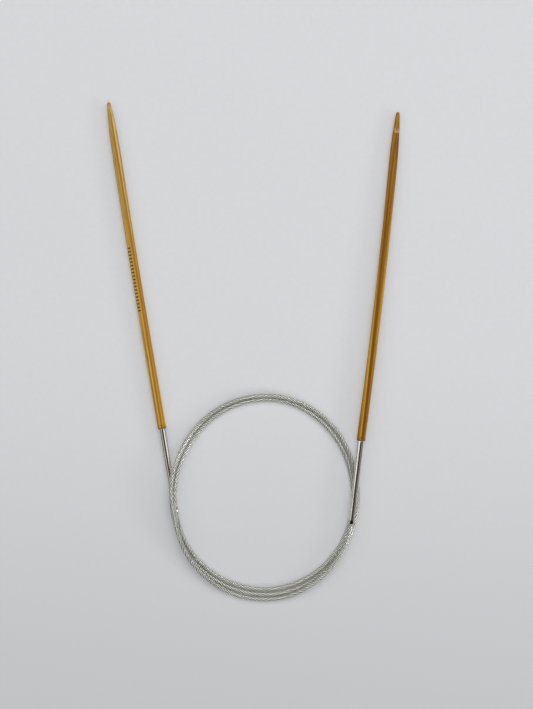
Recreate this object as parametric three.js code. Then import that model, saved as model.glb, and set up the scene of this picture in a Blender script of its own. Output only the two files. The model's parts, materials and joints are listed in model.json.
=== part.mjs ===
// Circular knitting needle: two pointed bamboo tips joined end to end by one coated wire-rope cable.
// Each tip is glued into a slim metal ferrule, and the cable turns freely inside the ferrule on a crimped stop.
// Millimetres, +Z up. The needle lies on a flat surface at Z = 0 with its points towards +Y and its cable coiled.

import * as THREE from "three";

// Driving dimensions
const SHAFT_R = 1.5; // needle size 3.0 mm
const BAMBOO_LENGTH = 117.6; // bamboo outside the ferrule
const POINT_LENGTH = 24; // tapered end of the bamboo
const POINT_END_SHARE = 0.36; // radius at the very end, as a share of the shaft's
const FERRULE_LENGTH = 29.7;
const FERRULE_MOUTH_R = 1.05;
const FERRULE_BACK_R = 1.25;
const CABLE_R = 0.8; // nylon coating over the wire rope
const CORE_STRAND_R = 0.23; // middle strand of the wire rope
const STRAND_R = 0.212; // outer strands
const STRAND_PITCH_R = 0.482; // from the rope's axis to an outer strand's axis
const STRAND_LAY = 10; // length of one full twist
const OUTER_STRANDS = 6;
const FIT_GAP = 0.015; // glue line clearance, per side
const SIDES = 24; // facets round a turned piece

// Distances along a tip from the ferrule's mouth, towards the point
const JACKET_END = [0.25, 9];
const CRIMP = [9.15, 15.15];
const STRAND_ENDS = [0.5, 15.6];
const NECK_END = 9; // the shoulder that holds the crimp
const TENON_START = 19;
const SHOULDER = FERRULE_LENGTH + 0.05;

// Radii inside the ferrule
const NECK_R = 0.9;
const COUNTERSINK_R = 0.97;
const CHAMBER_R = 0.99;
const TENON_BORE_R = 1.02;
const TENON_R = 0.95;
const CRIMP_R = 0.93;
const CRIMP_BORE_R = 0.715;
const JACKET_BORE_R = 0.715;

// Cable route: [angle in degrees, radius, height of the cable's centre], anticlockwise about the coil's
// centre from the left ferrule's mouth to the right one, just under two and a half turns.
const ROUTE = [
  [189, 31.9, 1.49], [195, 31.93, 1.44], [202, 32.15, 1.2], [210, 32.38, 0.95], [220, 32.52, 0.83],
  [235, 32.6, 0.82], [255, 32.7, 0.82], [270, 32.75, 0.82], [290, 32.5, 0.82], [310, 32.2, 0.82],
  [320, 32.05, 0.82], [330, 31.85, 0.82], [340, 31.6, 0.82], [350, 31.5, 0.82], [360, 31.5, 0.82],
  [370, 31.6, 0.82], [380, 31.95, 0.82], [390, 32.4, 0.82], [405, 33.2, 0.82], [420, 34.0, 0.82],
  [435, 34.7, 0.82], [450, 34.8, 0.82], [465, 34.4, 0.82], [480, 33.8, 0.82], [495, 33.05, 0.95],
  [505, 32.6, 1.35], [515, 32.3, 2.0], [525, 32.15, 2.8], [535, 32.0, 3.36], [543, 32.12, 3.5],
  [550, 32.42, 3.4], [556, 32.85, 2.98], [563, 33.35, 2.5], [570, 33.82, 1.98], [578, 34.1, 1.38],
  [588, 34.22, 0.95], [600, 34.26, 0.84], [612, 34.38, 0.82], [622, 34.5, 0.82], [635, 34.55, 0.82],
  [650, 34.3, 0.82], [665, 34.0, 0.82], [680, 33.8, 0.82], [690, 33.55, 0.82], [700, 33.25, 0.82],
  [710, 33.15, 0.82], [720, 33.2, 0.82], [730, 33.35, 0.82], [740, 33.65, 0.82], [750, 34.05, 0.82],
  [762, 34.75, 0.85], [775, 35.4, 1.15], [788, 35.9, 1.62], [800, 36.15, 1.78], [812, 36.15, 1.72],
  [825, 35.9, 1.5], [838, 35.5, 1.3], [850, 34.95, 1.35], [862, 34.4, 2.1], [871, 33.95, 3.0],
  [880, 33.65, 3.9], [888, 33.45, 4.42], [895, 33.25, 4.68], [902, 33.02, 4.92], [909, 32.88, 5.0],
  [916, 32.92, 4.66], [923, 33.2, 4.18], [930, 33.72, 3.65], [938, 34.3, 3.1], [946, 34.82, 2.62],
  [954, 35.22, 2.15], [962, 35.62, 1.78], [970, 35.97, 1.12], [982, 36.25, 0.84], [995, 36.2, 0.88],
  [1007, 35.87, 1.48], [1018, 35.2, 2.03], [1030, 34.5, 2.4], [1041, 33.7, 2.68], [1051, 33.0, 2.98],
  [1063, 32.24, 3.16],
];
const LEFT_LEAD = [190.1, 219]; // route angles of the left lead, clear of the mouth and of the coil
const COIL = [224, 1030];
const RIGHT_LEAD = [1038, 1062];
const COIL_STEPS = 72;
const COIL_SECTION = 8; // corners of the coil's section
const LEAD_SIDES = 8;
const LEAD_STEP = 5; // degrees

// How each tip lies: turned about Z from +Y, and tipped down towards the point
const SHAFT_APOTHEM = SHAFT_R * Math.cos(Math.PI / SIDES);
const TIPS = [
  { side: "left", angle: ROUTE[0][0], turn: 9.33, droop: 0, height: SHAFT_APOTHEM },
  { side: "right", angle: ROUTE.at(-1)[0], turn: -6.49, droop: 0.745, height: ROUTE.at(-1)[2] },
];

const material = (color, roughness, metalness) =>
  new THREE.MeshStandardMaterial({ color, roughness, metalness });
const bamboo = material(0xb58243, 0.45, 0);
const polishedSteel = material(0xc9c6bf, 0.18, 1);
const crimpBrass = material(0xb9975a, 0.35, 1);
const ropeSteel = material(0x8f9088, 0.35, 1);
const nylon = material(0xb4b8a6, 0.3, 0);
const epoxy = material(0xd8c48a, 0.4, 0);

const radians = THREE.MathUtils.degToRad;

function named(name, geometry, finish) {
  const mesh = new THREE.Mesh(geometry, finish);
  mesh.name = name;
  return mesh;
}

// A solid of revolution about the tip's axis (local Y), with a facet facing down. The profile holds
// [radius, distance from the mouth] pairs.
function turned(profile) {
  const points = profile.map(([r, y]) => new THREE.Vector2(r, y));
  return new THREE.LatheGeometry(points, SIDES, Math.PI / SIDES);
}

function sleeve(innerR, outerR, [from, to]) {
  return turned([[innerR, from], [outerR, from], [outerR, to], [innerR, to], [innerR, from]]);
}

// Tenon, shoulder, straight shaft, long taper and a small rounded end.
function bambooShaft() {
  const end = FERRULE_LENGTH + BAMBOO_LENGTH;
  const chamfer = 0.12;
  const profile = [
    [0, TENON_START], [TENON_R, TENON_START], [TENON_R, SHOULDER],
    [SHAFT_R - chamfer, SHOULDER], [SHAFT_R, SHOULDER + 2 * chamfer],
  ];
  const taperR = (toEnd) => SHAFT_R * (1 - (1 - POINT_END_SHARE) * (1 - toEnd / POINT_LENGTH) ** 3);
  const roundDepth = 0.45;
  const taperSteps = 12;
  for (let i = taperSteps; i >= 0; i--) {
    const toEnd = roundDepth + (POINT_LENGTH - roundDepth) * (i / taperSteps) ** 1.5;
    profile.push([taperR(toEnd), end - toEnd]);
  }
  const roundSteps = 4;
  for (let i = 1; i < roundSteps; i++) {
    const a = (i / roundSteps) * Math.PI / 2;
    profile.push([taperR(roundDepth) * Math.cos(a), end - roundDepth * (1 - Math.sin(a))]);
  }
  profile.push([0, end]);
  return turned(profile);
}

// A turned tube: countersunk mouth, neck that guides the cable, chamber for the crimp, bore for the tenon.
function ferrule() {
  const edge = 0.06;
  return turned([
    [COUNTERSINK_R, 0], [FERRULE_MOUTH_R - edge / 2, 0], [FERRULE_MOUTH_R, edge],
    [FERRULE_BACK_R, FERRULE_LENGTH - edge], [FERRULE_BACK_R - edge, FERRULE_LENGTH],
    [TENON_BORE_R, FERRULE_LENGTH], [TENON_BORE_R, TENON_START - 0.4],
    [CHAMBER_R, TENON_START - 0.4], [CHAMBER_R, NECK_END], [NECK_R, NECK_END],
    [NECK_R, 0.7], [COUNTERSINK_R, 0],
  ]);
}

// Barrel with rounded ends and three swaged grooves that grip the bare rope.
function crimpSleeve() {
  const [from, to] = CRIMP;
  const edge = 0.15;
  const grooveDepth = 0.1;
  const profile = [[CRIMP_BORE_R, from], [CRIMP_R - edge, from], [CRIMP_R, from + edge]];
  for (const y of [1.5, 3, 4.5]) {
    profile.push([CRIMP_R, from + y - 0.4], [CRIMP_R - grooveDepth, from + y - 0.2]);
    profile.push([CRIMP_R - grooveDepth, from + y + 0.2], [CRIMP_R, from + y + 0.4]);
  }
  profile.push([CRIMP_R, to - edge], [CRIMP_R - edge, to], [CRIMP_BORE_R, to], [CRIMP_BORE_R, from]);
  return turned(profile);
}

// A strand with a right-hand twist about the tip's axis, or on the axis when its pitch radius is 0.
class StrandCurve extends THREE.Curve {
  constructor(pitchR, startAngle) {
    super();
    this.pitchR = pitchR;
    this.startAngle = startAngle;
  }
  getPoint(t, target = new THREE.Vector3()) {
    const [from, to] = STRAND_ENDS;
    const y = from + (to - from) * t;
    const a = this.startAngle + (2 * Math.PI * y) / STRAND_LAY;
    return target.set(this.pitchR * Math.sin(a), y, this.pitchR * Math.cos(a));
  }
}

function polygon(radius, sides) {
  const corners = [];
  for (let i = 0; i < sides; i++) {
    const a = (2 * Math.PI * (i + 0.5)) / sides;
    corners.push(new THREE.Vector2(radius * Math.cos(a), radius * Math.sin(a)));
  }
  return new THREE.Shape(corners);
}

function tube(path, radius, sides, steps) {
  const options = { steps, extrudePath: path, bevelEnabled: false };
  return new THREE.ExtrudeGeometry(polygon(radius, sides), options);
}

// The seven strands of the stripped rope end: one straight in the middle, six laid round it.
function ropeStrands(side) {
  const sides = 6;
  const stepsPerTwist = 10;
  const twists = (STRAND_ENDS[1] - STRAND_ENDS[0]) / STRAND_LAY;
  const core = tube(new StrandCurve(0, 0), CORE_STRAND_R, sides, 1);
  const meshes = [named(`${side}_wire_core`, core, ropeSteel)];
  for (let i = 0; i < OUTER_STRANDS; i++) {
    const path = new StrandCurve(STRAND_PITCH_R, (2 * Math.PI * i) / OUTER_STRANDS);
    const strand = tube(path, STRAND_R, sides, Math.ceil(stepsPerTwist * twists));
    meshes.push(named(`${side}_wire_strand_${i + 1}`, strand, ropeSteel));
  }
  return meshes;
}

// One tip with the cable end that turns inside it, standing on its ferrule's mouth.
function tip({ side, angle, turn, droop, height }) {
  const group = new THREE.Group();
  const glue = [TENON_START + 0.2, FERRULE_LENGTH - 0.1];
  group.add(
    named(`${side}_bamboo_shaft`, bambooShaft(), bamboo),
    named(`${side}_tenon_adhesive`, sleeve(TENON_R + FIT_GAP, TENON_BORE_R - FIT_GAP, glue), epoxy),
    named(`${side}_ferrule`, ferrule(), polishedSteel),
    named(`${side}_crimp_sleeve`, crimpSleeve(), crimpBrass),
    named(`${side}_jacket_end`, sleeve(JACKET_BORE_R, CABLE_R, JACKET_END), nylon),
    ...ropeStrands(side),
  );
  group.rotation.set(-radians(droop), 0, radians(turn), "ZXY");
  const [radius] = routeAt(angle);
  group.position.set(radius * Math.cos(radians(angle)), radius * Math.sin(radians(angle)), height);
  return group;
}

// Radius and height of the route at an angle, as a smooth curve through its stations.
function routeAt(angle) {
  const last = ROUTE.length - 1;
  const next = ROUTE.findIndex((station) => station[0] >= angle);
  const i = Math.max(1, next) - 1;
  const slope = (k, axis) => {
    const before = ROUTE[Math.max(0, k - 1)];
    const after = ROUTE[Math.min(last, k + 1)];
    return k === 0 ? 0 : (after[axis] - before[axis]) / (after[0] - before[0]);
  };
  const span = ROUTE[i + 1][0] - ROUTE[i][0];
  const u = (angle - ROUTE[i][0]) / span;
  return [1, 2].map((axis) => {
    const fromStart = (2 * u ** 3 - 3 * u ** 2 + 1) * ROUTE[i][axis] + (u ** 3 - 2 * u ** 2 + u) * span * slope(i, axis);
    return fromStart + (3 * u ** 2 - 2 * u ** 3) * ROUTE[i + 1][axis] + (u ** 3 - u ** 2) * span * slope(i + 1, axis);
  });
}

function routePoint(angle) {
  const [radius, height] = routeAt(angle);
  return new THREE.Vector3(radius * Math.cos(radians(angle)), radius * Math.sin(radians(angle)), height);
}

function lead([from, to]) {
  const steps = Math.ceil((to - from) / LEAD_STEP);
  const points = [];
  for (let i = 0; i <= steps; i++) points.push(routePoint(from + ((to - from) * i) / steps));
  return tube(new THREE.CatmullRomCurve3(points), CABLE_R, LEAD_SIDES, steps);
}

// The section of the coil at one angle: the outline round the passes of the cable that lie there.
function coilSection(angle) {
  const passes = [];
  for (let a = angle; a <= COIL[1]; a += 360) if (a >= COIL[0]) passes.push(routeAt(a));
  const corners = [];
  for (let i = 0; i < COIL_SECTION; i++) {
    const a = (2 * Math.PI * (i + 0.5)) / COIL_SECTION;
    const reach = ([r, z]) => r * Math.cos(a) + z * Math.sin(a);
    const [r, z] = passes.reduce((best, pass) => (reach(pass) > reach(best) ? pass : best));
    corners.push([r + CABLE_R * Math.cos(a), z + CABLE_R * Math.sin(a)]);
  }
  return corners;
}

// A ring whose section follows the passes of the cable round the coil.
function coil() {
  const start = coilSection(0).map(([r, z]) => new THREE.Vector2(r, z));
  const ring = new THREE.LatheGeometry([...start, start[0]], COIL_STEPS);
  const position = ring.getAttribute("position");
  const perStep = COIL_SECTION + 1;
  for (let step = 0; step <= COIL_STEPS; step++) {
    const angle = (360 * (step % COIL_STEPS)) / COIL_STEPS;
    const section = coilSection(angle);
    for (let k = 0; k < perStep; k++) {
      const [r, z] = section[k % COIL_SECTION];
      position.setXYZ(step * perStep + k, r * Math.cos(radians(angle)), r * Math.sin(radians(angle)), z);
    }
  }
  return ring;
}

const tips = new THREE.Group();
tips.add(...TIPS.map(tip));

const cable = new THREE.Group();
cable.add(
  named("cable_coil", coil(), nylon),
  named("cable_left_lead", lead(LEFT_LEAD), nylon),
  named("cable_right_lead", lead(RIGHT_LEAD), nylon),
);

// Origin: middle of the two tips' footprint, on the surface they lie on.
const footprint = new THREE.Box3().setFromObject(tips, true);
const middle = footprint.getCenter(new THREE.Vector3());
const needle = new THREE.Group();
needle.add(tips, cable);
needle.position.set(-middle.x, -middle.y, -footprint.min.z);

export default needle;
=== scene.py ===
import json
import math

import bmesh
import bpy
import numpy as np
from mathutils import Matrix, Vector


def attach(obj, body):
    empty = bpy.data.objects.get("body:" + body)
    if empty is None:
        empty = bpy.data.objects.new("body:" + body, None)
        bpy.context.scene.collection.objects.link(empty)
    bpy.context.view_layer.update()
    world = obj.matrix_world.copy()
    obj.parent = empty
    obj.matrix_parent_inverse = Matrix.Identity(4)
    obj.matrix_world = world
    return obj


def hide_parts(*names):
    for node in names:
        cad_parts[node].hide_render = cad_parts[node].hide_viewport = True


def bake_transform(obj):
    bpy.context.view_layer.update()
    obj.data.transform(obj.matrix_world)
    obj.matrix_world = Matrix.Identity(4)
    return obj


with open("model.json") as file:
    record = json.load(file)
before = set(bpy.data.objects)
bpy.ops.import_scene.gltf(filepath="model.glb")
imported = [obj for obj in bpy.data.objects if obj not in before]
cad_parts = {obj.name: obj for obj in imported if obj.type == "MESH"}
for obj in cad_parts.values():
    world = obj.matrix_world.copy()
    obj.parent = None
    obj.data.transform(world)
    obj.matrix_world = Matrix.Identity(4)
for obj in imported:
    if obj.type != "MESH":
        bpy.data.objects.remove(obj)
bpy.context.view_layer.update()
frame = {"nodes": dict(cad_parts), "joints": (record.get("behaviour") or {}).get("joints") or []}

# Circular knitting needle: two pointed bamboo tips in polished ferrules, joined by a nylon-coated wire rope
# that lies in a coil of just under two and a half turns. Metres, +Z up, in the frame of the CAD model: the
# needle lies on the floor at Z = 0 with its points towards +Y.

MM = 0.001
TURN = 2 * math.pi
UP = np.array([0.0, 0.0, 1.0])
SIDE_NAMES = ("left", "right")
CREASE = math.radians(35)  # edges sharper than this aren't smoothed

# Cable
CABLE_R = 0.8 * MM  # outside of the nylon coating
OUTER_STRANDS = 6
STRAND_R = 0.24 * MM
STRAND_PITCH_R = 0.482 * MM  # from the rope's axis to an outer strand's axis
STRAND_LAY = 10 * MM  # length of one full twist
STEPS_PER_LAY = 16
BEND_STEPS = 29  # steps of the cable beside each ferrule, which make a short piece of their own
INTO_FERRULE = 0.2 * MM  # how far the cable is drawn past each ferrule's mouth
WIRES_PER_STRAND = 6
WIRE_LAY = 4.1 * MM
GROOVE_SHADE = (0.11, 0.18)  # where painted shade darkens a strand, from its outermost line, as shares of the way round it

# The cable's route, as in the CAD source: angle in degrees, radius, height of the cable's centre,
# anticlockwise about the coil's centre from the left ferrule's mouth to the right one.
ROUTE_STEP = 0.25  # degrees between the points worked out along it
ROUTE = (
    (189, 0.0319, 0.00149), (195, 0.03193, 0.00144), (202, 0.03215, 0.0012), (210, 0.03238, 0.00095),
    (220, 0.03252, 0.00083), (235, 0.0326, 0.00082), (255, 0.0327, 0.00082), (270, 0.03275, 0.00082),
    (290, 0.0325, 0.00082), (310, 0.0322, 0.00082), (320, 0.03205, 0.00082), (330, 0.03185, 0.00082),
    (340, 0.0316, 0.00082), (350, 0.0315, 0.00082), (360, 0.0315, 0.00082), (370, 0.0316, 0.00082),
    (380, 0.03195, 0.00082), (390, 0.0324, 0.00082), (405, 0.0332, 0.00082), (420, 0.034, 0.00082),
    (435, 0.0347, 0.00082), (450, 0.0348, 0.00082), (465, 0.0344, 0.00082), (480, 0.0338, 0.00082),
    (495, 0.03305, 0.00095), (505, 0.0326, 0.00135), (515, 0.0323, 0.002), (525, 0.03215, 0.0028),
    (535, 0.032, 0.00336), (543, 0.03212, 0.0035), (550, 0.03242, 0.0034), (556, 0.03285, 0.00298),
    (563, 0.03335, 0.0025), (570, 0.03382, 0.00198), (578, 0.0341, 0.00138), (588, 0.03422, 0.00095),
    (600, 0.03426, 0.00084), (612, 0.03438, 0.00082), (622, 0.0345, 0.00082), (635, 0.03455, 0.00082),
    (650, 0.0343, 0.00082), (665, 0.034, 0.00082), (680, 0.0338, 0.00082), (690, 0.03355, 0.00082),
    (700, 0.03325, 0.00082), (710, 0.03315, 0.00082), (720, 0.0332, 0.00082), (730, 0.03335, 0.00082),
    (740, 0.03365, 0.00082), (750, 0.03405, 0.00082), (762, 0.03475, 0.00085), (775, 0.0354, 0.00115),
    (788, 0.0359, 0.00162), (800, 0.03615, 0.00178), (812, 0.03615, 0.00172), (825, 0.0359, 0.0015),
    (838, 0.0355, 0.0013), (850, 0.03495, 0.00135), (862, 0.0344, 0.0021), (871, 0.03395, 0.003),
    (880, 0.03365, 0.0039), (888, 0.03345, 0.00442), (895, 0.03325, 0.00468), (902, 0.03302, 0.00492),
    (909, 0.03288, 0.005), (916, 0.03292, 0.00466), (923, 0.0332, 0.00418), (930, 0.03372, 0.00365),
    (938, 0.0343, 0.0031), (946, 0.03482, 0.00262), (954, 0.03522, 0.00215), (962, 0.03562, 0.00178),
    (970, 0.03597, 0.00112), (982, 0.03625, 0.00084), (995, 0.0362, 0.00088), (1007, 0.03587, 0.00148),
    (1018, 0.0352, 0.00203), (1030, 0.0345, 0.0024), (1041, 0.0337, 0.00268), (1051, 0.033, 0.00298),
    (1063, 0.03224, 0.00316),
)

# Tips, as distances from the ferrule's mouth towards the point
MOUTH_R = 1.05 * MM
LIP_R = 0.91 * MM  # inside of the drawn-in lip
LIP_ROUND = 0.02 * MM
LIP_LENGTH = {"left": 0.5 * MM, "right": 0.12 * MM}  # length of the part that is drawn in
NECK_R = 0.9 * MM  # the ferrule's bore round the cable
NECK_START = 0.7 * MM
NECK_END = 9 * MM
CHAMBER_R = 0.99 * MM  # its bore round the crimped sleeve
TENON_BORE_R = 1.02 * MM
TENON_BORE_START = 18.6 * MM
COLLAR_ROUND = 0.03 * MM  # at the end next to the bamboo
TENON_R = 0.95 * MM
TENON_END_R = 0.9 * TENON_R
TENON_CHAMFER = 0.1 * MM  # its length
SHOULDER_GAP = 0.05 * MM
SHOULDER_ROUND = 0.16 * MM
STRAIGHT_MARGIN = 1 * MM  # kept clear of the shoulder and of the taper by the straight part's rings
POINT_LENGTH = 24 * MM
POINT_END_SHARE = 0.36  # radius where the rounded end starts, as a share of the shaft's
POINT_ROUND = 0.45 * MM
TAPER_POWER = 3  # how full the taper is
BOW = {"left": -0.36 * MM, "right": 0.7 * MM}  # how far each shaft curves out, along its own X

# Marks on the tips
MOUTH_DARK_REFLECTION = {"left": 0, "right": 1.6 * MM}  # length of the painted dark reflection at each mouth
HANDLED = {"left": 0.3, "right": 0.02}  # how much each shaft has darkened towards its point
BARS = (75.5 * MM, 52 * MM)  # where the row of burnt bars starts and stops, back from the left point
BAR_PITCH = 1.25 * MM

# Painted dark reflection along the top of each shaft: its angle from the top, its half width, how strong it
# is at the ferrule and at the point, and its tone
DARK_TOP_REFLECTION = {
    "left": (0.05, 0.16, 0.65, 0.5, (154, 94, 4)),
    "right": (0.3, 0.2, 0.9, 0.2, (112, 62, 0)),
}

# Camera and light
CAMERA_HEIGHT = 0.9
SEEN_HEIGHT = 0.2524  # height of the picture on the floor
CAMERA_XY = (0.00467, -0.01463)
FLOOR_HALF = 3.0  # half the width of the table top
FLOOR_FRONT_SHADE = (-0.17, 0.0)  # painted shade: the table darkens towards the front between these two values of Y
FLOOR_GLOW = 0.15
WORLD_GLOW = 0.05
PANEL_HEIGHT = 1.05
PANELS = {  # each panel overhead: its centre in X and Y, its width and depth, and its brightness
    "back_left": (-1.48, 0.72, 2.6, 1.5, 1.1),
    "back_middle": (0.18, 0.81, 0.72, 1.32, 2.5),
    "back_right": (1.84, 0.72, 2.6, 1.5, 1.1),
    "front_left": (-1.58, -0.9, 2.2, 1.6, 0.45),
    "front_middle": (0.18, -1.0, 0.9, 1.3, 1.4),
    "front_right": (1.78, -0.9, 2.2, 1.6, 0.22),
}


# ---------------------------------------------------------------- camera and cables


def make_camera():
    """Looks straight down, with +Y towards the top of the picture."""
    data = bpy.data.cameras.new("camera")
    data.lens = data.sensor_width * CAMERA_HEIGHT / SEEN_HEIGHT
    data.clip_start = 0.01
    camera = bpy.data.objects.new("camera", data)
    camera.location = (*CAMERA_XY, CAMERA_HEIGHT)
    bpy.context.scene.collection.objects.link(camera)
    bpy.context.scene.camera = camera


def joint(name):
    """The facts of one of the frame's joints."""
    return next(j for j in frame["joints"] if j["name"] == name)


def add_object(name, mesh):
    """A new object in the scene with that mesh."""
    made = bpy.data.objects.new(name, mesh)
    bpy.context.scene.collection.objects.link(made)
    return made


def smooth(mesh):
    """Outward normals, and smooth shading except across the sharpest edges."""
    shape = bmesh.new()
    shape.from_mesh(mesh)
    bmesh.ops.recalc_face_normals(shape, faces=shape.faces)
    for face in shape.faces:
        face.smooth = True
    for edge in shape.edges:
        edge.smooth = edge.calc_face_angle(0) < CREASE
    shape.to_mesh(mesh)
    shape.free()


def mesh_of_rings(name, stacks, along=None, looped=False):
    """One mesh of closed solids, each a stack of rings of points that is capped at its ends, or joined end
    to end if looped. along gives each ring's distance, which goes into the UV map with the share of the
    way round."""
    points, faces, marks, used = [], [], [], 0
    for rings in stacks:
        count, corners = rings.shape[:2]
        distance = np.zeros(count) if along is None else along
        points.append(rings.reshape(-1, 3))
        for i in range(count if looped else count - 1):
            here, there = used + i * corners, used + (i + 1) % count * corners
            v, w = distance[i], distance[(i + 1) % count]
            for j in range(corners):
                k = (j + 1) % corners
                faces.append((here + j, here + k, there + k, there + j))
                a, b = j / corners, (j + 1) / corners
                marks += [(a, v), (b, v), (b, w), (a, w)]
        if not looped:
            for first in (used, used + (count - 1) * corners):
                faces.append(tuple(range(first, first + corners)))
                marks += [(0, 0)] * corners
        used += count * corners
    mesh = bpy.data.meshes.new(name)
    mesh.from_pydata(np.concatenate(points).tolist(), [], faces)
    if along is not None:
        layer = mesh.uv_layers.new(name="route")
        layer.data.foreach_set("uv", np.array(marks, np.float32).ravel())
    smooth(mesh)
    return mesh


def unit(vectors):
    """The vectors scaled to a length of one."""
    return vectors / np.linalg.norm(vectors, axis=-1, keepdims=True)


def place_of(side):
    """A tip's own frame: origin at its ferrule's mouth, +Y towards the point, +Z up from the floor."""
    swivel = joint(f"{side}_swivel")
    y = unit(np.array(swivel["axis"], float))
    x = unit(np.cross(y, UP))
    z = np.cross(x, y)
    place = Matrix.Identity(4)
    for row in range(3):
        place[row] = (x[row], y[row], z[row], swivel["pos_m"][row])
    return place


def route_curve():
    """Points of one smooth curve through the route's stations, with both ends drawn into their ferrules."""
    stations = np.array(ROUTE)
    angle, value = stations[:, 0], stations[:, 1:]
    # Cubic pieces: level at the left mouth, and elsewhere with the slope between a station's neighbours
    slope = np.zeros_like(value)
    slope[1:-1] = (value[2:] - value[:-2]) / (angle[2:] - angle[:-2])[:, None]
    slope[-1] = (value[-1] - value[-2]) / (angle[-1] - angle[-2])
    at = np.arange(angle[0], angle[-1] + 0.5 * ROUTE_STEP, ROUTE_STEP)
    i = np.clip(np.searchsorted(angle, at) - 1, 0, len(angle) - 2)
    span = (angle[i + 1] - angle[i])[:, None]
    u = (at - angle[i])[:, None] / span
    start = (2 * u**3 - 3 * u**2 + 1) * value[i] + (u**3 - 2 * u**2 + u) * span * slope[i]
    end = (3 * u**2 - 2 * u**3) * value[i + 1] + (u**3 - u**2) * span * slope[i + 1]
    radius, height = (start + end).T
    turn = np.radians(at)
    points = np.stack([radius * np.cos(turn), radius * np.sin(turn), height], axis=1)
    left, right = (np.array(place_of(side)) for side in SIDE_NAMES)
    left_inside, right_inside = (tip[:3, 3] + INTO_FERRULE * tip[:3, 1] for tip in (left, right))
    centre = left[:3, 3] - points[0]
    centre[2] = 0
    return np.concatenate([[left_inside], points + centre, [right_inside]])


def evenly(line, step):
    """The line again in equal steps of about that length, and each point's distance along it."""
    lengths = np.linalg.norm(np.diff(line, axis=0), axis=1)
    distance = np.concatenate([[0], np.cumsum(lengths)])
    at = np.linspace(0, distance[-1], round(distance[-1] / step) + 1)
    return np.stack([np.interp(at, distance, line[:, k]) for k in range(3)], axis=1), at


def tube_rings(line, across, other, radius, corners):
    """Rings of points round a line, in the plane of two directions at each of its points."""
    a = TURN * np.arange(corners) / corners
    spread = across[:, None] * np.cos(a)[None, :, None] + other[:, None] * np.sin(a)[None, :, None]
    return line[:, None] + radius * spread


def rope_rings(line, distance, up, sideways):
    """The rings of the rope's strands: one straight in the middle, and six with a right-hand twist."""
    stacks = [tube_rings(line, up, sideways, STRAND_R, corners=8)]
    for strand in range(OUTER_STRANDS):
        turn = TURN * (distance / STRAND_LAY + strand / OUTER_STRANDS)[:, None]
        outward = up * np.cos(turn) + sideways * np.sin(turn)
        centre = line + STRAND_PITCH_R * outward
        beside = np.cross(unit(np.gradient(centre, axis=0)), outward)
        stacks.append(tube_rings(centre, outward, beside, STRAND_R, corners=12))
    return stacks


def make_cables():
    """The coated wire rope: one long piece, and a short one at each ferrule."""
    line, distance = evenly(route_curve(), STRAND_LAY / STEPS_PER_LAY)
    along = unit(np.gradient(line, axis=0))
    sideways = unit(np.cross(along, UP))
    up = np.cross(sideways, along)
    strands = rope_rings(line, distance, up, sideways)
    jacket = tube_rings(line, up, sideways, CABLE_R, corners=20)
    count = len(line)
    first, last = BEND_STEPS, count - BEND_STEPS - 1  # the ends of the long piece
    stretches = {
        "cable": slice(first, last + 1),
        "left_cable_bend": slice(0, first + 1),
        "right_cable_bend": slice(last, count),
    }
    made = {}
    for name, part in stretches.items():
        rope = mesh_of_rings(f"{name}_rope", [strand[part] for strand in strands], distance[part])
        coating = mesh_of_rings(f"{name}_coating", [jacket[part]], distance[part])
        made[name] = [add_object(mesh.name, mesh) for mesh in (coating, rope)]
    for piece in made["cable"]:
        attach(piece, "cable")
    ends = {"left": (first, 0), "right": (last, count - 1)}
    for side, (start, end) in ends.items():
        for piece in made[f"{side}_cable_bend"]:
            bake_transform(piece)
        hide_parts(f"cable_{side}_lead")
    coating, rope = made["cable"]
    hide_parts("cable_coil")
    return made


make_camera()
cables = make_cables()


# ---------------------------------------------------------------- bamboo tips and ferrules


def turned_size(node, place):
    """Where a turned CAD piece starts and ends along its tip, and its largest radius."""
    back = np.array(place.inverted())
    points = np.array([v.co for v in frame["nodes"][node].data.vertices], float)
    points = points @ back[:3, :3].T + back[:3, 3]
    radius = np.hypot(points[:, 0], points[:, 2]).max()
    return points[:, 1].min(), points[:, 1].max(), radius


def arc(centre_r, centre_y, radius, start, end, steps):
    """Points of a quarter or so of a circle in a profile, from one angle to another, in degrees."""
    angles = np.radians(np.linspace(start, end, steps + 1))
    return [(centre_r + radius * math.cos(a), centre_y + radius * math.sin(a)) for a in angles]


def turned(profile, corners, bend=None):
    """Rings about +Y from a profile of (radius, distance) points. bend gives a ring's shift along X."""
    a = TURN * np.arange(corners) / corners
    rings = []
    for radius, y in profile:
        shift = bend(y) if bend else 0
        ring = [radius * np.sin(a) + shift, np.full(corners, y), radius * np.cos(a)]
        rings.append(np.stack(ring, axis=1))
    return np.array(rings)


def bamboo_profile(start, end, radius, shoulder):
    """Tenon, rounded shoulder, straight shaft, long taper and a small rounded end."""
    profile = [(TENON_END_R, start), (TENON_R, start + TENON_CHAMFER), (TENON_R, shoulder)]
    profile += [(radius - 2 * SHOULDER_ROUND, shoulder)]
    centre = (radius - SHOULDER_ROUND, shoulder + SHOULDER_ROUND)
    profile += arc(*centre, SHOULDER_ROUND, -90, 0, steps=6)
    straight = (shoulder + STRAIGHT_MARGIN, end - POINT_LENGTH - STRAIGHT_MARGIN)
    profile += [(radius, y) for y in np.linspace(*straight, 30)]

    def taper(to_end):
        thinning = (1 - to_end / POINT_LENGTH) ** TAPER_POWER
        return radius * (1 - (1 - POINT_END_SHARE) * thinning)

    for share in np.linspace(1, 0, 33) ** 1.3:  # rings closer together towards the end
        to_end = POINT_ROUND + (POINT_LENGTH - POINT_ROUND) * share
        profile.append((taper(to_end), end - to_end))
    for a in np.radians(np.linspace(10, 84, 9)):
        profile.append((taper(POINT_ROUND) * math.cos(a), end - POINT_ROUND * (1 - math.sin(a))))
    return profile


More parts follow.
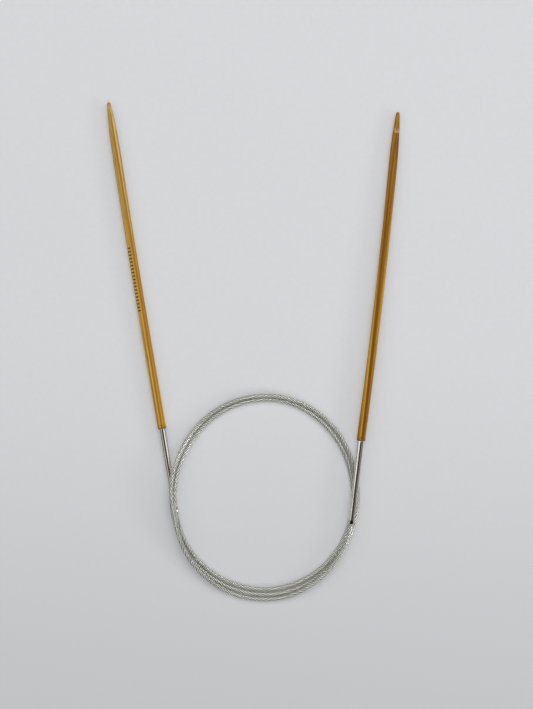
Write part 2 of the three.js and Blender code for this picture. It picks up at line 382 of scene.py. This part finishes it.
def ferrule_profile(length, back_r, lip_length):
    """A tapered tube, drawn in and rounded at its mouth, with a rounded collar edge at the bamboo."""
    profile = [(LIP_R, LIP_ROUND), (LIP_R + 0.3 * LIP_ROUND, 0.2 * LIP_ROUND), (LIP_R + LIP_ROUND, 0)]
    profile += [(LIP_R + 2 * LIP_ROUND, 0.4 * LIP_ROUND), (MOUTH_R - LIP_ROUND, 0.8 * lip_length)]
    for share in np.linspace(lip_length / length, 0.97, 20):
        profile.append((MOUTH_R + (back_r - MOUTH_R) * share, share * length))
    profile += arc(back_r - COLLAR_ROUND, length - COLLAR_ROUND, COLLAR_ROUND, 0, 90, steps=6)
    profile += [(TENON_BORE_R, length), (TENON_BORE_R, TENON_BORE_START)]
    profile += [(CHAMBER_R, TENON_BORE_START), (CHAMBER_R, NECK_END), (NECK_R, NECK_END)]
    profile += [(NECK_R, NECK_START)]
    return profile


def make_tip(side):
    """A slightly bowed bamboo shaft and its ferrule, on the body that swings and turns."""
    place = place_of(side)
    _, length, back_r = turned_size(f"{side}_ferrule", place)
    start, end, radius = turned_size(f"{side}_bamboo_shaft", place)
    shoulder = length + SHOULDER_GAP

    def bend(y):
        share = min(1, max(0, (y - shoulder) / (end - shoulder)))
        return BOW[side] * math.sin(math.pi * share)

    shaft = turned(bamboo_profile(start, end, radius, shoulder), corners=64, bend=bend)
    tube = turned(ferrule_profile(length, back_r, LIP_LENGTH[side]), corners=72)
    pieces = (
        (mesh_of_rings(f"{side}_bamboo", [shaft]), "bamboo_shaft", "bamboo"),
        (mesh_of_rings(f"{side}_ferrule_tube", [tube], looped=True), "ferrule", "ferrule_metal"),
    )
    made = []
    for mesh, node, slot in pieces:
        piece = add_object(mesh.name, mesh)
        piece.matrix_world = place
        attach(piece, f"{side}_tip")
        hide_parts(f"{side}_{node}")
        made.append(piece)
    return made


tips = {side: make_tip(side) for side in SIDE_NAMES}


# ---------------------------------------------------------------- materials


def srgb(red, green, blue):
    """A colour given as 0 to 255, as Blender's linear values."""
    parts = [c / 255 for c in (red, green, blue)]
    return (*(c / 12.92 if c <= 0.04045 else ((c + 0.055) / 1.055) ** 2.4 for c in parts), 1)


class Look:
    """A material, built a node at a time."""

    def __init__(self, name):
        self.material = bpy.data.materials.new(name)
        self.material.use_nodes = True
        self.tree = self.material.node_tree
        self.tree.nodes.clear()
        self.output = self.add("ShaderNodeOutputMaterial")

    def give(self, socket, value):
        """Links another node's output to a socket, or sets a plain value."""
        if isinstance(value, bpy.types.NodeSocket):
            self.tree.links.new(value, socket)
        else:
            socket.default_value = value

    def add(self, kind, inputs=None, **options):
        node = self.tree.nodes.new(kind)
        for option, value in options.items():
            setattr(node, option, value)
        for socket, value in (inputs or {}).items():
            self.give(node.inputs[socket], value)
        return node

    def place(self):
        """The shaded point in the object's own axes."""
        return self.add("ShaderNodeTexCoord").outputs["Object"]

    def scaled(self, vector, scale, shift=(0, 0, 0)):
        """The vector times scale, plus shift: one noise cell is then 1 / scale wide."""
        node = self.add("ShaderNodeMapping", {"Vector": vector, "Scale": scale, "Location": shift})
        return node.outputs["Vector"]

    def noise(self, vector, detail=2.0, roughness=0.5):
        inputs = {"Vector": vector, "Scale": 1.0, "Detail": detail, "Roughness": roughness}
        return self.add("ShaderNodeTexNoise", inputs).outputs["Fac"]

    def maths(self, operation, *values):
        inputs = dict(enumerate(values))
        return self.add("ShaderNodeMath", inputs, operation=operation).outputs["Value"]

    def fade(self, value, low, high, to_low=0.0, to_high=1.0):
        """A smooth change from to_low at low to to_high at high."""
        inputs = {"Value": value, "From Min": low, "From Max": high, "To Min": to_low, "To Max": to_high}
        node = self.add("ShaderNodeMapRange", inputs, interpolation_type="SMOOTHSTEP")
        return node.outputs["Result"]

    def mixed(self, factor, first, second):
        """A colour that goes from the first to the second as the factor goes from 0 to 1."""
        inputs = {0: factor, 6: first, 7: second}
        return self.add("ShaderNodeMix", inputs, data_type="RGBA").outputs[2]

    def bump(self, height, distance, strength):
        inputs = {"Height": height, "Distance": distance, "Strength": strength}
        return self.add("ShaderNodeBump", inputs).outputs["Normal"]

    def surface(self, shader):
        self.tree.links.new(shader.outputs[0], self.output.inputs["Surface"])
        return self.material

    def principled(self, **inputs):
        """Finishes the material with a Principled shader, whose inputs are named in lower case."""
        named = {key.replace("_", " ").title().replace("Ior", "IOR"): v for key, v in inputs.items()}
        return self.surface(self.add("ShaderNodeBsdfPrincipled", named))


def bamboo_grain(look, place, side):
    """Long pale and brown bands with fine dark fibres: the colour, and the two noises of the fibres."""
    tones = {
        "left": ((176, 124, 36), (206, 166, 66), (238, 212, 138)),
        "right": ((120, 70, 2), (168, 120, 10), (208, 162, 52)),
    }
    dark, middle, pale = (srgb(*tone) for tone in tones[side])
    shift = (0, 0, 0) if side == "left" else (7.3, 3.1, 5.7)
    bands = look.noise(look.scaled(place, (1150, 9, 1150), shift), 1.5)
    fibres = look.noise(look.scaled(place, (5200, 55, 5200), shift), 2.5)
    dashes = look.noise(look.scaled(place, (7600, 210, 7600), shift), 1.0)
    colour = look.mixed(look.fade(bands, 0.36, 0.5), dark, middle)
    colour = look.mixed(look.fade(bands, 0.5, 0.66), colour, pale)
    colour = look.mixed(look.fade(fibres, 0.4, 0.68, 0.0, 0.5), colour, dark)
    colour = look.mixed(look.fade(dashes, 0.64, 0.72, 0.0, 0.65), colour, srgb(96, 56, 14))
    return colour, fibres, dashes


def dark_reflection_share(look, y, angle, side, shoulder, end):
    """How strong the painted dark reflection along the top of the shaft is, which fades out to both its
    sides.
    """
    middle, reach, near_share, far_share, _ = DARK_TOP_REFLECTION[side]
    off = look.maths("ABSOLUTE", look.maths("SUBTRACT", angle, middle))
    top_reflection = look.fade(off, reach, 2.2 * reach, 1.0, 0.0)
    return look.maths("MULTIPLY", top_reflection, look.fade(y, shoulder, end, near_share, far_share))


def pores_share(look, place, y, shoulder):
    """Small dark pores in the last millimetres before the ferrule."""
    pores = look.noise(look.scaled(place, (2600, 1500, 2600)), 0.0)
    near = look.fade(y, shoulder + 0.8 * MM, shoulder + 2.2 * MM, 1.0, 0.0)
    return look.maths("MULTIPLY", look.fade(pores, 0.6, 0.68), near)


def bars_share(look, y, angle, end):
    """A plain row of short burnt bars on the shaft's outer side: 1 on a bar and 0 beside it."""
    start, stop = (end - back for back in BARS)
    step = look.maths("FRACT", look.maths("DIVIDE", look.maths("SUBTRACT", y, start), BAR_PITCH))
    bar = look.fade(look.maths("ABSOLUTE", look.maths("SUBTRACT", step, 0.5)), 0.16, 0.24, 1.0, 0.0)
    middle, reach = math.radians(-48), math.radians(22)
    off = look.maths("ABSOLUTE", look.maths("SUBTRACT", angle, middle))
    band = look.fade(off, reach, reach + 0.08, 1.0, 0.0)
    inside = look.maths("MULTIPLY", look.maths("GREATER_THAN", y, start), look.maths("LESS_THAN", y, stop))
    return look.maths("MULTIPLY", look.maths("MULTIPLY", bar, band), look.maths("MULTIPLY", inside, 0.95))


def worn_share(look, place, y, end):
    """A pale, patchy band where the wax has worn off near the point."""
    low = look.fade(y, end - 7.6 * MM, end - 7.3 * MM)
    high = look.fade(y, end - 6.1 * MM, end - 5.6 * MM, 1.0, 0.0)
    patches = look.fade(look.noise(look.scaled(place, (1900, 300, 1900)), 1.0), 0.4, 0.6)
    return look.maths("MULTIPLY", look.maths("MULTIPLY", low, high), look.maths("MULTIPLY", patches, 0.8))


def bamboo_look(side):
    """Waxed bamboo: grain, a painted dark reflection along the top, the scorched shoulder, handling, pores
    and a stained point, with burnt bars on the left shaft and a worn band on the right one."""
    look = Look(f"bamboo_{side}")
    place = look.place()
    axis = look.add("ShaderNodeSeparateXYZ", {"Vector": place}).outputs
    y = axis["Y"]
    angle = look.maths("ARCTAN2", axis["X"], axis["Z"])
    _, end, _ = turned_size(f"{side}_bamboo_shaft", place_of(side))
    _, shoulder, _ = turned_size(f"{side}_ferrule", place_of(side))
    colour, fibres, dashes = bamboo_grain(look, place, side)
    *_, dark_reflection_tone = DARK_TOP_REFLECTION[side]
    layers = [
        # painted dark reflection along the top of the shaft
        (dark_reflection_share(look, y, angle, side, shoulder, end), dark_reflection_tone),
        (look.fade(y, shoulder, shoulder + 1.2 * MM, 0.75, 0.0), (142, 74, 20)),
        (look.fade(y, shoulder, end, 0.0, HANDLED[side]), (112, 72, 24)),
        (pores_share(look, place, y, shoulder), (84, 44, 12)),
        (look.fade(y, end - 2.2 * MM, end, 0.0, 0.6), (150, 88, 20)),
    ]
    if side == "left":
        layers.append((bars_share(look, y, angle, end), (74, 44, 14)))
    else:
        layers.append((worn_share(look, place, y, end), (196, 168, 122)))
    for share, tone in layers:
        colour = look.mixed(share, colour, srgb(*tone))
    height = look.maths("SUBTRACT", fibres, look.maths("MULTIPLY", dashes, 0.5))
    return look.principled(
        base_color=colour,
        roughness=look.fade(fibres, 0.3, 0.7, 0.42, 0.58),
        normal=look.bump(height, 0.02 * MM, 0.5),
        specular_ior_level=0.08,
        coat_weight=0.22,
        coat_roughness=0.12,
    )


def ferrule_look(side):
    """Polished nickel with fine lengthwise lines and faint smears, and a painted dark reflection at the
    right mouth.
    """
    look = Look(f"polished_nickel_{side}")
    place = look.place()
    lines = look.noise(look.scaled(place, (16000, 90, 16000)), 2.0)
    smears = look.noise(look.scaled(place, (900, 160, 900)), 3.0)
    colour = look.mixed(look.fade(smears, 0.35, 0.75), srgb(226, 223, 215), srgb(212, 206, 196))
    axis = look.add("ShaderNodeSeparateXYZ", {"Vector": place}).outputs
    angle = look.maths("ARCTAN2", axis["X"], axis["Z"])
    lean = 0.12  # from the top to the middle of the painted dark reflection, in radians
    across = look.fade(look.maths("ABSOLUTE", look.maths("ADD", angle, lean)), 0.3, 0.85, 1.0, 0.0)
    from_mouth = look.fade(axis["Y"], MOUTH_DARK_REFLECTION[side] - 0.5 * MM, MOUTH_DARK_REFLECTION[side], 1.0, 0.0)
    # painted dark reflection near the mouth, on the upper side of the ferrule
    colour = look.mixed(look.maths("MULTIPLY", from_mouth, across), colour, srgb(78, 75, 66))
    polish = look.fade(lines, 0.3, 0.7, 0.04, 0.09)
    rough = look.maths("ADD", polish, look.fade(smears, 0.5, 0.8, 0.0, 0.05))
    normal = look.bump(lines, 0.001 * MM, 0.4)
    return look.principled(base_color=colour, metallic=1.0, roughness=rough, normal=normal)


def rope_look():
    """Stranded steel: the wires of each strand run along the rope, with painted shade between the wires and
    between the strands.
    """
    look = Look("stranded_steel")
    route = look.add("ShaderNodeUVMap", uv_map="route").outputs["UV"]
    parts = look.add("ShaderNodeSeparateXYZ", {"Vector": route}).outputs
    round_share, distance = parts["X"], parts["Y"]
    turn = look.maths("ADD", round_share, look.maths("DIVIDE", distance, WIRE_LAY))
    wave = look.maths("SINE", look.maths("MULTIPLY", turn, TURN * WIRES_PER_STRAND))
    tint = look.noise(look.scaled(look.place(), (700, 700, 700)), 2.0)
    colour = look.mixed(look.fade(tint, 0.3, 0.7), srgb(236, 237, 228), srgb(224, 225, 214))
    # painted shade in the crevices between the wires
    colour = look.mixed(look.fade(wave, -1.0, -0.4, 0.3, 0.0), colour, srgb(120, 121, 108))
    from_inside = look.maths("ABSOLUTE", look.maths("SUBTRACT", round_share, 0.5))
    from_outside = look.maths("SUBTRACT", 0.5, from_inside)
    # painted shade in the grooves between the strands
    colour = look.mixed(look.fade(from_outside, *GROOVE_SHADE, 0.0, 0.96), colour, srgb(52, 54, 42))
    rough = look.fade(tint, 0.3, 0.7, 0.3, 0.4)
    normal = look.bump(wave, 0.02 * MM, 0.6)
    return look.principled(base_color=colour, metallic=1.0, roughness=rough, normal=normal)


def coating_look():
    """Clear nylon: see-through from above, milkier towards its sides, with a gloss."""
    look = Look("clear_nylon")
    haze = look.noise(look.scaled(look.place(), (900, 900, 900)), 2.0)
    clear = look.add("ShaderNodeBsdfTransparent", {"Color": (0.995, 0.995, 0.99, 1)})
    film = look.add("ShaderNodeBsdfDiffuse", {"Color": srgb(250, 251, 244)})
    glow = look.add("ShaderNodeBsdfTranslucent", {"Color": srgb(250, 251, 244)})
    milk = look.add("ShaderNodeMixShader", {0: 0.4, 1: film.outputs[0], 2: glow.outputs[0]})
    side = look.add("ShaderNodeLayerWeight", {"Blend": 0.5}).outputs["Facing"]
    share = look.maths("ADD", look.fade(haze, 0.3, 0.7, 0.01, 0.05), look.fade(side, 0.5, 1.0, 0.0, 0.2))
    body = look.add("ShaderNodeMixShader", {0: share, 1: clear.outputs[0], 2: milk.outputs[0]})
    gloss = look.add("ShaderNodeBsdfGlossy", {"Color": (1, 1, 1, 1), "Roughness": 0.14})
    edge = look.maths("MULTIPLY_ADD", look.maths("POWER", side, 5), 0.94, 0.06)
    both = look.add("ShaderNodeMixShader", {0: edge, 1: body.outputs[0], 2: gloss.outputs[0]})
    return look.surface(both)


def crimp_look():
    """Drawn brass with swaging rubs."""
    look = Look("drawn_brass")
    grain = look.noise(look.scaled(look.place(), (5000, 800, 5000)), 3.0)
    colour = look.mixed(look.fade(grain, 0.3, 0.7), srgb(206, 176, 110), srgb(170, 138, 80))
    rough = look.fade(grain, 0.3, 0.7, 0.25, 0.45)
    normal = look.bump(grain, 0.01 * MM, 0.5)
    return look.principled(base_color=colour, metallic=1.0, roughness=rough, normal=normal)


def adhesive_look():
    """Cured amber epoxy with small bubbles."""
    look = Look("cured_epoxy")
    bubbles = look.noise(look.scaled(look.place(), (3000, 3000, 3000)), 2.0)
    colour = look.mixed(look.fade(bubbles, 0.45, 0.7), srgb(214, 190, 132), srgb(232, 216, 170))
    rough = look.fade(bubbles, 0.3, 0.7, 0.25, 0.4)
    normal = look.bump(bubbles, 0.02 * MM, 0.4)
    return look.principled(base_color=colour, roughness=rough, normal=normal)


def dress(piece, material):
    """Gives a piece this one material."""
    piece.data.materials.clear()
    piece.data.materials.append(material)


def dress_all():
    """Gives every piece its material, the frame's own solids inside the ferrules among them."""
    rope, coating, crimp, glue = (
        make() for make in (rope_look, coating_look, crimp_look, adhesive_look)
    )
    for coated, stranded in cables.values():
        dress(coated, coating)
        dress(stranded, rope)
    for side in SIDE_NAMES:
        shaft, tube = tips[side]
        dress(shaft, bamboo_look(side))
        dress(tube, ferrule_look(side))
        inner = {"tenon_adhesive": glue, "crimp_sleeve": crimp, "jacket_end": coating, "wire_core": rope}
        inner.update({f"wire_strand_{i + 1}": rope for i in range(OUTER_STRANDS)})
        for name, material in inner.items():
            dress(frame["nodes"][f"{side}_{name}"], material)


dress_all()


# ---------------------------------------------------------------- floor and light


def make_floor():
    """A pale matt table top with a faint glow of its own, which keeps the shadows light, and painted shade
    towards the front.
    """
    half = FLOOR_HALF
    corners = [(-half, -half, 0), (half, -half, 0), (half, half, 0), (-half, half, 0)]
    mesh = bpy.data.meshes.new("floor")
    mesh.from_pydata(corners, [], [(0, 1, 2, 3)])
    floor = add_object("floor", mesh)
    look = Look("pale_card")
    place = look.place()
    grain = look.noise(look.scaled(place, (600, 600, 600)), 3.0)
    colour = look.mixed(look.fade(grain, 0.3, 0.7), srgb(198, 199, 202), srgb(196, 197, 200))
    y = look.add("ShaderNodeSeparateXYZ", {"Vector": place}).outputs["Y"]
    # painted shade towards the front
    colour = look.mixed(look.fade(y, *FLOOR_FRONT_SHADE, 1.0, 0.0), colour, srgb(177, 178, 181))
    card = look.principled(
        base_color=colour,
        roughness=0.75,
        emission_color=(0.98, 0.985, 1, 1),
        emission_strength=FLOOR_GLOW,
    )
    dress(floor, card)


def make_panel(name, centre, size, radiance, target=None):
    """A flat soft light of a given brightness, facing down or at its target."""
    data = bpy.data.lights.new(name, "AREA")
    data.shape = "RECTANGLE"
    data.size, data.size_y = size
    data.energy = radiance * math.pi * size[0] * size[1]
    light = bpy.data.objects.new(name, data)
    light.location = centre
    if target is not None:
        light.rotation_euler = (Vector(target) - Vector(centre)).to_track_quat("-Z", "Y").to_euler()
    bpy.context.scene.collection.objects.link(light)


def make_light():
    """Large soft panels overhead with gaps between them, and a small bright window low on the right."""
    world = bpy.data.worlds.new("studio")
    world.use_nodes = True
    background = world.node_tree.nodes["Background"]
    background.inputs["Color"].default_value = (1.0, 0.99, 0.97, 1)
    background.inputs["Strength"].default_value = WORLD_GLOW
    bpy.context.scene.world = world
    for name, (x, y, width, depth, radiance) in PANELS.items():
        make_panel(name, (x, y, PANEL_HEIGHT), (width, depth), radiance)
    make_panel(
        "window",
        centre=(1.2, -0.5, 0.45),
        size=(0.4, 0.26),
        radiance=13.0,
        target=(0, -0.07, 0),
    )
    bpy.context.scene.view_settings.view_transform = "Standard"


make_floor()
make_light()
